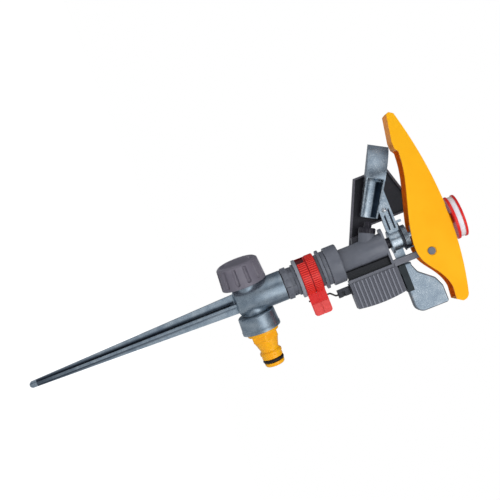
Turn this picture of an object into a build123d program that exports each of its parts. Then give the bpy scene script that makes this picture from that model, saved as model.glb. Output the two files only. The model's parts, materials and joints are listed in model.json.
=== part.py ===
from build123d import *
import math
import os

# Impulse sprinkler on a ground spike. Millimetres. Z runs up the riser from the spike's tip,
# +X is the side that the jet leaves on. Heights below are lengths added up from the tip.

# General clearances
RUN = 0.10            # radial play of a pin or shaft that turns
GAP = 0.30            # play between faces of pieces that move past each other
WALL = 1.6            # wall of the thin plastic mouldings

# Base casting
base_turn = 10.0      # the cross of the base stands turned from the head by this angle
spike_length = 177.0
spike_tip_radius = 2.6
spike_half_width = 8.2
fin_thickness = 2.2
fin_core_radius = 2.8
casting_radius = 12.2
casting_length = 41.0
cross_above_spike = 9.3
water_bore = 6.5
neck_radius = 9.7
neck_reach = 12.3
spigot_radius = 8.9
spigot_reach = 27.0
collar_start = 12.7
collar_length = 13.8
collar_radius = 15.0
collar_flare = 0.5
collar_bead = 2.4
collar_bore = 10.4
saddle_radius = 4.0

# Screw cap on the second outlet
cap_radius = 18.3
cap_taper = 1.3
cap_top = 3.2
cap_shoulder = 2.4
cap_flutes = 12
flute_width = 2.2
flute_depth = 0.9
gasket_thickness = 1.2

# Quick coupling nipple
adaptor_flange_radius = 12.9
adaptor_flange = 3.3
adaptor_hex_width = 20.4
adaptor_hex = 5.6
adaptor_taper = 8.2
adaptor_neck_radius = 7.1
adaptor_neck = 1.6
adaptor_ring_radius = 9.0
adaptor_ring = 2.4
adaptor_land = 3.6
adaptor_land_radius = 8.45
o_ring_wire = 1.3         # squeezed flush with the land, as under its socket
adaptor_tip = 3.6
adaptor_tip_radius = 7.9
adaptor_bore = 4.6
adaptor_thread = 11.0

# Bearing between the base and the head
seal_thickness = 0.6
nipple_shank = 13.0
nipple_shank_radius = 8.6
nut_radius = 12.9
nut_height = 4.8
slot_radius = 11.6
slot_height = 4.3
slot_count = 6
rim_radius = 12.6
rim_height = 2.1
spigot_above_rim = 20.0
nipple_spigot_radius = 10.0
spindle_radius = 7.2
spindle_bore = 5.2
spindle_flange = 1.7
spindle_flange_radius = 8.2
washer_thickness = 0.7
sleeve_wall = 2.0
sleeve_flange_radius = 15.6
sleeve_flange = 2.6
retainer_hub = 2.2
retainer_hub_radius = 13.0
retainer_disc = 2.4
retainer_radius = 15.9

# Sector rings
ring_height = 7.1
ring_radius = 15.7
ring_rib_depth = 0.5
ring_rib_width = 0.9
ring_ribs = 54
ring_window_angle = 24.0
ring_window_half = 5.0
ring_window_lip = 0.9
tab_reach = 33.0
tab_thickness = 2.2
tab_corner = 2.5
grip_start = 23.2
grip_proud = 0.6

# Head
guard_radius = 13.8
guard_height = 3.4
swivel_radius = 15.6
swivel_height = 10.9
swivel_lip = 1.4
swivel_shoulder = 0.8
tube_radius = 9.9
tube_bore = 5.6
tube_height = 47.8
plate_thickness = 2.0
plate_reach = 13.2
web_thickness = 2.4
jet_angle = 27.0
jet_height = 31.4
barrel_radius = 6.5
barrel_length = 15.4
barrel_bore = 4.5
nozzle_cap_radius = 6.8
nozzle_cap_length = 4.4
nozzle_tip_radius = 2.6
nozzle_reach = 5.0
nozzle_bore = 1.75

# Frame of the head
bar_inner = 16.1
bar_thickness = 2.7
bar_half_width = 7.0
post_inner = 14.0
post_near = 8.0
post_far = 3.5
hinge_boss = 5.4
hinge_pin_radius = 3.0
hinge_above_plate = 30.3
bridge_bottom = 22.6
bridge_height = 6.2
bridge_reach = 7.0
bridge_half_width = 6.0
pin_radius = 2.5
pin_depth = 9.0

# Arm
bush_height = 3.1
bush_radius = 4.4
hub_radius = 7.9
hub_height = 10.3
hub_flange_radius = 9.2
hub_flange = 1.5
sleeve_radius = 4.0
beam_half_width = 3.6
beam_height = 9.5
groove_height = 1.5
groove_depth = 1.6
spoon_start = 28.0
spoon_lift = 2.5
spoon_rise = 0.9
spoon_length = 58.0
spoon_low_width = 13.5
spoon_high_width = 17.0
spoon_wall = 1.4
spoon_back = 9.0
spoon_front = 8.6
spoon_floor = 33.0
spoon_hood_start = 29.5
weight_inner = 19.5
weight_half_width = 6.0
weight_round = 1.3
link_thickness = 5.8
bumper_length = 22.0
bumper_height = 5.3
bumper_drop = 1.0
bumper_proud = 0.4
bumper_rib = 0.9
bumper_rib_width = 1.8
lug_reach = 13.5
lug_height = 4.5
stud_radius = 1.95
stud_x = 25.7
stud_proud = 1.0

# Arm spring
spring_radius = 9.3
spring_wire = 0.5
spring_pitch = 1.0
spring_turns = 3.5
seat_thickness = 0.6

# Trip gear
housing_reach = 39.5
housing_bulge = 1.7
housing_clearance = 1.2
housing_near = 8.0
housing_far = 12.0
rib_pitch = 3.3
rib_width = 1.1
rib_height = 0.8
trip_pivot_height = 5.0
trip_drop = 16.0
trip_head_height = 10.0
trip_inner = 19.8
trip_outer = 26.2
trip_half_width = 3.5
trip_pin_radius = 1.5
striker_pivot_height = 20.5
striker_near = 3.0
striker_throw = 30.0
striker_thickness = 2.0
striker_tail = 4.5
finger_half = 1.5
finger_height = 9.0
wire_radius = 0.7
wire_length = 34.4
wire_offset = 19.8

# Splash shield
shield_depth = 6.4
shield_outer = 57.8
shield_angle = 24.9
shield_low_x = 8.4
shield_low_z = 8.4       # below the jet, at the inner end
shield_end = 27.6
shield_peak = 11.5

# Hood and knob
hood_half_width = 13.5
hood_wall = 2.25
hood_top = 53.8
hood_tilt = 3.0
nose_start = 66.0
pin_recess = 0.7
knob_lift = 2.0
knob_radius = 17.4
knob_disc = 2.2
knob_band = 4.2
knob_band_radius = 16.4
knob_rim = 2.0
knob_spindle_radius = 4.0
knob_boss_radius = 7.0
knob_boss = 13.0
cam_radius = 6.5
follower_offset = 5.0
clip_thickness = 1.0

# Heights along the riser, added up from the tip
cross_z = spike_length + cross_above_spike
cap_length = spigot_reach + gasket_thickness + cap_top - neck_reach - GAP
casting_bottom = spike_length - 3.0
casting_top = casting_bottom + casting_length
nut_z = casting_top + seal_thickness
slot_z = nut_z + nut_height
rim_z = slot_z + slot_height
sleeve_z = rim_z + rim_height
ring_low_z = sleeve_z + sleeve_flange + GAP
ring_high_z = ring_low_z + ring_height + GAP
retainer_z = ring_high_z + ring_height + GAP
retainer_top = retainer_z + retainer_hub + retainer_disc
spigot_top = sleeve_z + spigot_above_rim
guard_z = retainer_top + GAP
swivel_z = guard_z + guard_height
tube_z = swivel_z + swivel_lip
frame_z = swivel_z + swivel_height
plate_z = tube_z + tube_height - plate_thickness
plate_top = plate_z + plate_thickness
jet_z = swivel_z + jet_height
hub_z = plate_top + bush_height + GAP
hub_top = hub_z + hub_height
spring_z = hub_top + seat_thickness + spring_wire
bridge_z = plate_top + bridge_bottom
hinge_z = plate_top + hinge_above_plate
hinge_x = -(post_inner + bar_inner + bar_thickness) / 2 - 1.0
bar_outer = bar_inner + bar_thickness
housing_z = frame_z - 0.5
bumper_z = hub_z - bumper_drop
housing_top = bumper_z - housing_clearance
housing_height = housing_top - housing_z
trip_z = housing_z + trip_pivot_height
striker_z = housing_z + striker_pivot_height
striker_length = bumper_z - GAP - striker_z
spoon_angle = jet_angle + spoon_lift
hood_z = plate_top + hood_top - 0.8
jet_dir = Vector(math.cos(math.radians(jet_angle)), 0, math.sin(math.radians(jet_angle)))
spoon_dir = Vector(math.cos(math.radians(spoon_angle)), 0, math.sin(math.radians(spoon_angle)))
spoon_up = Vector(-spoon_dir.Z, 0, spoon_dir.X)

BASE = (Align.CENTER, Align.CENTER, Align.MIN)


def disc(radius, low, high):
    """Upright cylinder between two heights."""
    return Pos(0, 0, low) * Cylinder(radius, high - low, align=BASE)


def tube(outer, inner, low, high):
    """Upright ring between two heights."""
    return disc(outer, low, high) - disc(inner, low, high)


def turned(*points):
    """Solid turned about Z from a closed outline of (radius, height) points."""
    outline = Plane.XZ * make_face(Polyline(*points, close=True))
    return revolve(outline, Axis.Z)


def profile(*points, radius=0):
    """Closed face in the XZ plane from (x, z) points, with its corners rounded if asked."""
    line = FilletPolyline(*points, radius=radius, close=True) if radius else Polyline(*points, close=True)
    return Plane.XZ * make_face(line)


def slab(face, low, high):
    """A face in the XZ plane carried along Y from low to high."""
    return extrude(Pos(0, low, 0) * face, high - low, dir=(0, 1, 0))


def block(x, y, z):
    """Box given by its lowest and highest value on each axis."""
    size = [high - low for low, high in (x, y, z)]
    centre = [(high + low) / 2 for low, high in (x, y, z)]
    return Pos(*centre) * Box(*size)


def along_x(shape, z):
    """Lay a shape that was made along +Z down along +X, at a height z, with the base's turn."""
    return Rot(0, 0, base_turn) * (Pos(0, 0, z) * (Rot(0, 90, 0) * shape))


def rod_x(radius, low, high, y, z):
    """Round rod along X."""
    return Pos((low + high) / 2, y, z) * (Rot(0, 90, 0) * Cylinder(radius, high - low))


def rod_y(radius, low, high, x, z):
    """Round rod along Y."""
    return Pos(x, (low + high) / 2, z) * (Rot(90, 0, 0) * Cylinder(radius, high - low))


def coil(radius, wire, pitch, turns, low):
    """Coil spring of round wire standing on its end coil, the wire's centre starting at low."""
    path = Helix(pitch=pitch, height=pitch * turns, radius=radius)
    section = Plane(origin=path @ 0, z_dir=path % 0) * Circle(wire)
    return Pos(0, 0, low) * sweep(section, path=path, is_frenet=True)


# Base

def saddle_edge(edge):
    """True for the curved seam where the cross pipe meets the riser."""
    return edge.geom_type not in (GeomType.LINE, GeomType.CIRCLE)


def make_spike_casting():
    """Four-finned spike under a cross of pipes: outlet collar, capped spigot and riser socket."""
    fin_top = casting_bottom + 6.0
    tip = spike_tip_radius
    fin = Plane.XZ * make_face(
        ThreePointArc((-tip, tip), (0, 0), (tip, tip))
        + Polyline((tip, tip), (spike_half_width, spike_length), (spike_half_width, fin_top),
                   (-spike_half_width, fin_top), (-spike_half_width, spike_length), (-tip, tip))
    )
    near = slab(fin, -fin_thickness / 2, fin_thickness / 2)
    core = turned((0, tip), (1.2, tip + 1), (fin_core_radius, spike_length), (0, spike_length))
    foot = turned((0, casting_bottom), (7.5, casting_bottom), (10.8, casting_bottom + 1.4),
                  (casting_radius, casting_bottom + 5.0), (0, casting_bottom + 5.0))
    pipes = disc(casting_radius, casting_bottom + 5.0, casting_top)
    pipes += along_x(disc(neck_radius, -neck_reach - 6.0, neck_reach + 6.0), cross_z)
    pipes = fillet(pipes.edges().filter_by(saddle_edge), saddle_radius)
    pipes &= along_x(disc(casting_top, -neck_reach - 5.0, neck_reach), cross_z)
    spigot = along_x(disc(spigot_radius, 0, spigot_reach), cross_z)
    face = collar_start + collar_length
    collar = along_x(turned((0, -collar_start), (collar_radius - 0.6, -collar_start),
                            (collar_radius, -collar_start - 0.6),
                            (collar_radius + collar_flare, -face + collar_bead),
                            (collar_radius + collar_flare + 0.3, -face + collar_bead),
                            (collar_radius + collar_flare + 0.3, -face), (0, -face)), cross_z)
    bores = along_x(disc(water_bore, -face, spigot_reach), cross_z)
    bores += along_x(disc(collar_bore, -face, -collar_start), cross_z)
    bores += disc(water_bore, cross_z, casting_top)
    bores += disc(nipple_shank_radius + GAP, casting_top - nipple_shank - 4.0, casting_top)
    turned_fins = Rot(0, 0, base_turn) * (near + Rot(0, 0, 90) * near)
    return turned_fins + core + foot + pipes + spigot + collar - bores


def make_blanking_cap():
    """Fluted screw cap over the spigot, tapering a little to its closed end."""
    start = neck_reach + GAP
    end = start + cap_length
    small = cap_radius - cap_taper
    body = turned((0, start), (cap_radius, start), (cap_radius, start + 2.2),
                  (small, end - cap_shoulder), (small - cap_shoulder * 0.8, end), (0, end))
    body -= disc(spigot_radius + GAP, start, end - cap_top)
    for number in range(cap_flutes):
        turn = Rot(0, 0, (number + 0.5) * 360 / cap_flutes)
        groove = Pos(cap_radius, 0, start + 4.0 + flute_width / 2) * Sphere(flute_width / 2)
        groove += Pos(cap_radius, 0, start + 4.0 + flute_width / 2) * Cylinder(
            flute_width / 2, cap_length, align=BASE)
        body -= turn * Pos(-flute_depth + flute_width / 2 - 0.4, 0, 0) * groove
    return along_x(body, cross_z)


def make_cap_gasket():
    """Flat rubber seal inside the cap's closed end."""
    end = neck_reach + GAP + cap_length - cap_top
    return along_x(tube(spigot_radius, water_bore - 1.5, end - gasket_thickness, end), cross_z)


def adaptor_stations():
    """Distances from the axis of the riser to the steps of the quick coupling nipple."""
    lengths = [collar_start + collar_length, adaptor_flange, adaptor_hex, adaptor_taper, adaptor_neck,
               adaptor_ring, adaptor_land, 2 * o_ring_wire, adaptor_tip]
    stations = []
    total = 0
    for length in lengths:
        total += length
        stations.append(total)
    return stations


def make_hose_adaptor():
    """Turned nipple for a click-on hose coupling, screwed into the collar."""
    face, flange, hexagon, taper, neck, ring, land, groove, end = adaptor_stations()
    thread = adaptor_thread
    groove_radius = adaptor_land_radius - 2 * o_ring_wire
    body = turned((adaptor_bore, -face + thread), (collar_bore - GAP, -face + thread),
                  (collar_bore - GAP, -face), (adaptor_flange_radius, -face),
                  (adaptor_flange_radius, -flange + 0.8),
                  (adaptor_flange_radius - 0.8, -flange), (adaptor_hex_width / 2 - 0.4, -flange),
                  (adaptor_hex_width / 2 - 0.4, -hexagon), (adaptor_neck_radius, -taper),
                  (adaptor_neck_radius, -neck), (adaptor_ring_radius - 0.5, -neck),
                  (adaptor_ring_radius, -neck - 0.5), (adaptor_ring_radius, -ring),
                  (adaptor_land_radius, -ring), (adaptor_land_radius, -land),
                  (groove_radius, -land), (groove_radius, -groove),
                  (adaptor_tip_radius + 0.3, -groove), (adaptor_tip_radius, -end + 1.2),
                  (adaptor_tip_radius - 0.9, -end), (adaptor_bore, -end))
    spanner = extrude(RegularPolygon(adaptor_hex_width / 2, 6, major_radius=False), adaptor_hex)
    body += Pos(0, 0, -hexagon) * (spanner - Cylinder(adaptor_bore, 3 * adaptor_hex))
    return along_x(body, cross_z)


def make_adaptor_o_ring():
    """Rubber ring near the tip of the nipple."""
    land = adaptor_stations()[6]
    ring_centre = adaptor_land_radius - o_ring_wire
    return along_x(Pos(0, 0, -land - o_ring_wire) * Torus(ring_centre, o_ring_wire - 0.02), cross_z)


def make_adaptor_washer():
    """Flat rubber washer at the inner end of the nipple's thread."""
    start = -(collar_start + collar_length) + adaptor_thread
    return along_x(tube(collar_bore - GAP, adaptor_bore + 0.6, start, -collar_start), cross_z)


def make_nipple_seal():
    """Thin rubber ring under the nut of the bearing nipple."""
    return tube(casting_radius - 0.2, nipple_shank_radius + GAP, casting_top, nut_z)


def make_bearing_nipple():
    """Screwed into the riser socket: shank, nut with lugs, slotted waist, rim and spigot."""
    shank = disc(nipple_shank_radius, casting_top - nipple_shank, nut_z)
    nut = disc(nut_radius - 0.7, nut_z, slot_z)
    for number in range(slot_count):
        lug = block((0, nut_radius), (-3.2, 3.2), (nut_z + 0.4, slot_z)) & disc(nut_radius, nut_z, slot_z)
        nut += Rot(0, 0, number * 360 / slot_count) * lug
    waist = disc(slot_radius, slot_z, rim_z)
    for number in range(slot_count):
        slot = block((slot_radius - 1.3, slot_radius + 1), (-3.6, 3.6), (slot_z + 0.9, rim_z - 0.7))
        waist -= Rot(0, 0, (number + 0.5) * 360 / slot_count) * slot
    rim = disc(rim_radius, rim_z, sleeve_z)
    spigot = disc(nipple_spigot_radius, sleeve_z, spigot_top)
    bore = disc(spindle_radius + RUN, casting_top - nipple_shank, spigot_top)
    return shank + nut + waist + rim + spigot - bore


def make_ring_sleeve():
    """Flanged sleeve that the two sector rings turn on."""
    bore = nipple_spigot_radius
    sleeve = tube(bore + sleeve_wall, bore, sleeve_z, retainer_z)
    return sleeve + tube(sleeve_flange_radius, bore, sleeve_z, sleeve_z + sleeve_flange)


def make_ring_retainer():
    """Pressed disc that keeps the sector rings on their sleeve."""
    bore = nipple_spigot_radius
    hub = tube(retainer_hub_radius, bore, retainer_z, retainer_top)
    return hub + tube(retainer_radius, bore, retainer_top - retainer_disc, retainer_top)


def make_sector_ring(low, upper):
    """Ribbed ring with a flat tab that the trip wire runs against; the two tabs make one wide blade."""
    bore = nipple_spigot_radius + sleeve_wall + GAP
    high = low + ring_height
    ring = tube(ring_radius - ring_rib_depth, bore, low, high)
    side = ring_rib_width / 2
    rib = block((ring_radius - 1.0, ring_radius), (-side, side), (low + 0.5, high - 0.5))
    step = 360 / ring_ribs
    first_angle = 5 if upper else ring_window_angle + 21
    for number in range(ring_ribs):
        angle = number * step
        if first_angle < angle < 165:
            ring += Rot(0, 0, angle) * rib
    if not upper:
        window = block((bore + 1.2, ring_radius + 1), (-ring_window_half, ring_window_half),
                       (low - 1, high - ring_window_lip))
        ring -= Rot(0, 0, ring_window_angle) * window
    near = wire_radius + 0.4
    corners = [0.3, 0.3, 0.3, tab_corner] if upper else [tab_corner, 0.3, 0.3, 0.3]
    outline = FilletPolyline((-tab_reach, low), (-bore - 0.8, low), (-bore - 0.8, high), (-tab_reach, high),
                             radius=corners, close=True)
    tab = slab(Plane.XZ * make_face(outline), near, near + tab_thickness)
    raised = (near + tab_thickness, near + tab_thickness + grip_proud)
    grip = block((-tab_reach + 0.8, -grip_start), raised, (low + 0.6, high - 0.6))
    return ring + (tab - disc(bore, low, high)) + grip


# Bearing pieces that turn with the head

def make_bearing_spindle():
    """Hollow spindle through the nipple, flanged below, screwed into the head above."""
    flange_z = casting_top - nipple_shank - washer_thickness - spindle_flange
    spindle = disc(spindle_radius, flange_z, tube_z + 8.0)
    spindle += disc(spindle_flange_radius, flange_z, flange_z + spindle_flange)
    return spindle - disc(spindle_bore, flange_z, tube_z + 8.0)


def make_bearing_washer():
    """Slippery washer between the spindle's flange and the nipple."""
    high = casting_top - nipple_shank
    return tube(spindle_flange_radius, spindle_radius + 0.02, high - washer_thickness, high)


def make_bearing_spring():
    """Light spring that keeps the bearing closed when the water is off."""
    wire = 0.55
    height = swivel_z - spigot_top - 2 * wire - GAP
    return coil(spindle_radius + wire + 0.4, wire, height / 2.5, 2.5, spigot_top + GAP + wire)


def make_sand_guard():
    """Short skirt that keeps grit out of the bearing."""
    return tube(guard_radius, guard_radius - 2.2, guard_z, swivel_z)


def make_swivel_nut():
    """Collar nut that clamps the spindle to the foot of the head."""
    edge = swivel_shoulder
    nut = turned((spindle_radius, swivel_z), (swivel_radius - 0.5, swivel_z),
                 (swivel_radius, swivel_z + 0.5), (swivel_radius, frame_z - edge),
                 (swivel_radius - edge, frame_z), (spindle_radius, frame_z))
    return nut - disc(tube_radius, tube_z, frame_z + 1)


# Head

def jet_frame(distance):
    """Plane across the jet's axis at a distance from the riser's axis."""
    return Plane(origin=Vector(0, 0, jet_z) + jet_dir * distance, x_dir=(0, 1, 0), z_dir=jet_dir)


def make_head_body():
    """Upright tube with the slanting nozzle barrel and the bearing plate for the arm on top."""
    joint_z = tube_z + (plate_z - tube_z) * 0.52
    body = disc(tube_radius, tube_z, plate_z) + disc(tube_radius + 0.25, joint_z, plate_z)
    barrel = jet_frame(0) * Cylinder(barrel_radius, barrel_length, align=BASE)
    barrel += jet_frame(barrel_length) * Cylinder(barrel_radius - 1.0, nozzle_cap_length - 1.2, align=BASE)
    plate = profile((-bar_inner, plate_z), (plate_reach, plate_z), (plate_reach, plate_top),
                    (-bar_inner, plate_top))
    plate = slab(plate, -post_near, post_near)
    plate = fillet(plate.edges().filter_by(Axis.Z).group_by(Axis.X)[-1], 5.0)
    side = web_thickness / 2
    web = block((-bar_inner, -tube_bore - 2.0), (-side, side), (frame_z + 0.6, plate_z + 1.0))
    body += barrel + plate + web
    body -= disc(spindle_radius, tube_z, tube_z + 8.0)
    body -= disc(tube_bore, tube_z, jet_z + 2.0)
    body -= jet_frame(0) * Cylinder(barrel_bore, barrel_length + nozzle_cap_length, align=BASE)
    return body - disc(pin_radius, plate_top - pin_depth, plate_top)


def make_nozzle_cap():
    """Ring nut that holds the jet nozzle in the barrel."""
    ring = Cylinder(nozzle_cap_radius, nozzle_cap_length, align=BASE)
    ring = chamfer(ring.edges().group_by(Axis.Z)[-1], 0.8)
    for number in range(12):
        ring -= Rot(0, 0, number * 30) * Pos(nozzle_cap_radius + 0.2, 0, 0) * Cylinder(0.6, 9.0)
    ring -= Cylinder(barrel_radius - 0.98, nozzle_cap_length - 1.2, align=BASE)
    ring -= Cylinder(nozzle_tip_radius + 0.6, nozzle_cap_length, align=BASE)
    return jet_frame(barrel_length) * ring


def make_jet_nozzle():
    """Round nozzle with a tapered bore, its flange held under the ring nut."""
    inside = nozzle_cap_length - 1.2
    end = nozzle_cap_length + nozzle_reach
    outline = Polyline((nozzle_bore + 1.2, inside - 7.5), (barrel_bore - 0.02, inside - 7.5),
                       (barrel_bore - 0.02, inside), (nozzle_tip_radius + 0.58, inside),
                       (nozzle_tip_radius + 0.58, nozzle_cap_length), (nozzle_tip_radius, end - 0.5),
                       (nozzle_tip_radius - 0.4, end), (nozzle_bore, end), (nozzle_bore, end - 3.0),
                       close=True)
    return jet_frame(barrel_length) * revolve(Plane.XZ * make_face(outline), Axis.Z)


def make_nozzle_seal():
    """Rubber ring behind the jet nozzle."""
    inside = nozzle_cap_length - 1.2 - 7.5
    ring = Cylinder(barrel_bore - 0.02, 1.2) - Cylinder(nozzle_bore + 1.2, 1.2)
    return jet_frame(barrel_length + inside - 0.6) * ring


def make_splash_shield():
    """Tray on the far side of the jet that stops the spray from wetting the head."""
    low = Vector(shield_low_x, 0, jet_z - shield_low_z)
    front = -hood_half_width - GAP
    back = front - shield_depth
    outer_z = low.Z + (shield_outer - low.X) * math.tan(math.radians(shield_angle))
    corner_z = outer_z + shield_end
    inner_x = tube_radius + 8.0
    outline = [(low.X, low.Z), (shield_outer, outer_z), (shield_outer, corner_z),
               (inner_x, corner_z + shield_peak), (inner_x, plate_z - 1.0), (low.X, plate_z - 8.0)]
    face = make_face(Polyline(*outline, close=True))
    outer = slab(Plane.XZ * face, back, front)
    inner = slab(Plane.XZ * offset(face, -WALL), back + WALL, front + 1)
    tray = outer - inner
    rib_z = outer_z - 1.0
    middle = (inner_x + shield_outer) / 2
    tray += block((middle - 9.0, middle + 9.0), (back, back + WALL + 1.0), (rib_z, rib_z + WALL))
    foot = profile((low.X - 3.0, low.Z), (low.X + 6.0, low.Z + 3.0), (low.X + 6.0, jet_z + 8.0),
                   (low.X - 3.0, jet_z + 8.0))
    tray += slab(foot, back, -2.0) - disc(tube_radius + 0.25, tube_z, plate_z)
    tray -= jet_frame(0) * Cylinder(barrel_radius, barrel_length, align=BASE)
    nozzle_room = Cylinder(nozzle_cap_radius + GAP, barrel_length, align=BASE)
    return tray - jet_frame(barrel_length - GAP) * nozzle_room


def make_bridge_frame():
    """Bar and post beside the tube, with the bridge that holds the fulcrum pin's top."""
    bar = block((-bar_outer, -bar_inner), (-bar_half_width, bar_half_width), (frame_z, plate_top))
    post = block((-bar_outer, -post_inner), (-post_far, post_near), (plate_top, hinge_z))
    boss = rod_y(hinge_boss, -hood_half_width + hood_wall + GAP, hood_half_width - hood_wall - GAP,
                 hinge_x, hinge_z)
    beam = profile((hinge_x, bridge_z), (bridge_reach, bridge_z), (bridge_reach, bridge_z + bridge_height),
                   (hinge_x, bridge_z + bridge_height))
    beam = slab(beam, -bridge_half_width, bridge_half_width)
    beam = fillet(beam.edges().filter_by(Axis.Z).group_by(Axis.X)[-1], 5.0)
    nub = Pos(-follower_offset, 0, bridge_z + bridge_height) * Cylinder(1.5, 1.2, align=BASE)
    frame = bar + post + boss + beam + nub
    frame -= rod_y(hinge_pin_radius, -20, 20, hinge_x, hinge_z)
    frame -= disc(pin_radius, bridge_z, bridge_z + bridge_height - 1.5)
    frame -= rod_x(trip_pin_radius, -bar_outer, -bar_inner, 0, trip_z)
    return frame - rod_x(trip_pin_radius, -bar_outer, -bar_inner, striker_near, striker_z)


def make_fulcrum_pin():
    """Steel pin that the arm swings on."""
    return disc(pin_radius, plate_top - pin_depth, bridge_z + bridge_height - 1.5)


def make_fulcrum_bush():
    """Spacer under the arm's hub."""
    return tube(bush_radius, pin_radius, plate_top, plate_top + bush_height)


def make_hinge_pin():
    """Pin through the head of the post that the hood rocks on."""
    reach = hood_half_width + 0.2
    return rod_y(hinge_pin_radius - 0.02, -reach, reach, hinge_x, hinge_z)


# Arm

def spoon_origin():
    """Middle of the spoon's lower end."""
    return Vector(0, 0, jet_z) + jet_dir * spoon_start + spoon_up * spoon_rise


def spoon_frame():
    """Plane of the spoon's side view: local x along the spoon, local y square to it."""
    return Plane(origin=spoon_origin(), x_dir=spoon_dir, z_dir=(0, -1, 0))


def spoon_side(inset, extra):
    """Long side view of the spoon, widening towards its outer end."""
    low = spoon_low_width / 2 - inset
    high = spoon_high_width / 2 - inset
    return spoon_frame() * make_face(Polyline((-extra, -low), (spoon_length + extra, -high),
                                              (spoon_length + extra, high), (-extra, low), close=True))


def spoon_plan(line):
    """Carry a closed line of (along the spoon, across it in Y) through its whole depth."""
    plan = Plane(origin=spoon_origin(), x_dir=spoon_dir, z_dir=spoon_up)
    return extrude(plan * make_face(line), 14, both=True)


def make_spoon():
    """Scoop that the jet drives: an open trough near the nozzle and a curved wall at its end."""
    bend = (spoon_length - spoon_hood_start) * 0.62 + spoon_hood_start
    outer = spoon_plan(
        Polyline((spoon_length, -spoon_back), (0, -spoon_back), (0, -1.0), (spoon_hood_start, spoon_front))
        + ThreePointArc((spoon_hood_start, spoon_front), (bend, spoon_front - 5.4),
                        (spoon_length, -spoon_back)))
    shape = extrude(spoon_side(0, 0), 14, both=True) & outer
    channel = extrude(spoon_side(spoon_wall, 1), 14, both=True)
    floor = -spoon_back + spoon_wall
    trough = spoon_plan(Polyline((-1, floor), (spoon_floor, floor), (spoon_floor, -spoon_back - 1),
                                 (spoon_length - 4.0, -spoon_back - 1), (spoon_hood_start + 2.0, -1.0),
                                 (spoon_hood_start, 20), (-1, 20), close=True))
    hollow = spoon_plan(
        Polyline((spoon_length - spoon_wall * 1.6, -spoon_back - 1), (spoon_floor, -spoon_back - 1),
                 (spoon_floor, -spoon_back + spoon_wall), (spoon_hood_start - 1, -spoon_back + spoon_wall),
                 (spoon_hood_start - 1, spoon_front - spoon_wall))
        + ThreePointArc((spoon_hood_start - 1, spoon_front - spoon_wall), (bend - 1.2, spoon_front - 6.9),
                        (spoon_length - spoon_wall * 1.6, -spoon_back - 1)))
    return shape - (channel & (trough + hollow))


def weight_face():
    """Side view of the counterweight, hollowed towards the hood above it."""
    z = hub_z - 0.4
    inner = -weight_inner
    line = FilletPolyline((inner, z + 9.6), (inner, z), (-59.8, z), (-59.8, z + 26.9), (-46.0, z + 26.9),
                          (-38.0, z + 23.4), (-28.6, z + 12.0), (inner - 3.0, z + 9.6),
                          radius=[0.5, 0.5, 7.0, 2.0, 4.0, 6.0, 5.0, 1.0], close=True)
    return Plane.XZ * make_face(line)


def make_impact_arm():
    """Cast arm: hub, ribbed beam, spoon at one end and counterweight at the other."""
    beam_low = hub_z + 0.8
    beam_high = beam_low + beam_height
    edge = spoon_frame().origin + spoon_up * (spoon_low_width / 2 - 0.6)
    slope = spoon_dir.Z / spoon_dir.X
    low_x = edge.X + (beam_low - edge.Z) / slope
    high_x = edge.X + (beam_high - edge.Z) / slope
    hub = disc(hub_radius, hub_z, hub_top) + disc(hub_flange_radius, hub_z, hub_z + hub_flange)
    beam = slab(profile((0, beam_low), (low_x, beam_low), (high_x, beam_high), (0, beam_high)),
                -beam_half_width, beam_half_width)
    spread = profile((low_x - 8, beam_low), (low_x, beam_low), (high_x, beam_high),
                     (high_x - 16, beam_high))
    spread = slab(spread, -beam_half_width - 1.5, beam_half_width)
    groove_x = hub_radius + 1.5
    for height in (beam_low + 2.0, beam_low + beam_height - 3.2):
        far = edge.X + (height - edge.Z) / slope - 3.0
        groove = block((groove_x, far), (beam_half_width - groove_depth, beam_half_width + 1),
                       (height, height + groove_height))
        beam -= groove
    beam += rod_y(stud_radius, 0, beam_half_width + stud_proud, stud_x, beam_low + beam_height * 0.42)
    lug = block((lug_reach - 1, lug_reach + 1), (-1.6, 1.2), (beam_high - 1, beam_high + lug_height))
    link_near = -post_far - GAP
    link = block((-weight_inner - 4.0, -2.0), (link_near - link_thickness, link_near),
                 (beam_low, beam_high - 1.5))
    weight = slab(weight_face(), -weight_half_width, weight_half_width)
    rims = weight.edges().filter_by(Axis.Y, reverse=True)
    weight = fillet(rims.filter_by(lambda edge: edge.center().X < -weight_inner - weight_round), weight_round)
    link &= disc(weight_inner + 3.0, hub_z, hub_top)
    arm = hub + beam + spread + lug + make_spoon() + link + weight
    return arm - disc(sleeve_radius, hub_z - 1, hub_top + 1) - bumper_solid()


def bumper_solid():
    """Rubber bar let into the lower edge of the counterweight, with the rib that the striker stops."""
    side = weight_half_width + bumper_proud
    bar = block((-weight_inner - bumper_length, -weight_inner), (-side, side),
                (bumper_z, bumper_z + bumper_height))
    rib = block((-trip_outer, -trip_inner - 0.4), (side - bumper_rib_width, side),
                (bumper_z - bumper_rib, bumper_z + 1.0))
    return bar + rib


def make_arm_sleeve():
    """Plain bearing pressed into the arm's hub."""
    return tube(sleeve_radius, pin_radius + RUN, hub_z, hub_top)


def make_spring_seat():
    """Washer between the hub and the arm's spring."""
    return tube(spring_radius + 1.0, pin_radius + RUN, hub_top, hub_top + seat_thickness)


def make_arm_spring():
    """Torsion spring that brings the arm back into the jet."""
    turns = spring_turns
    low = spring_z + 0.05
    high = low + spring_pitch * turns
    spring = coil(spring_radius, spring_wire, spring_pitch, turns, low)
    spring += rod_x(spring_wire, spring_radius, lug_reach + 1.0, 1.2 + spring_wire + 0.2, low + 0.2)
    leg_angle = turns * 360
    leg = Pos(spring_radius, 0, high) * Cylinder(spring_wire, bridge_z - high - 0.1, align=BASE)
    return spring + Rot(0, 0, leg_angle) * leg


# Trip gear

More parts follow.
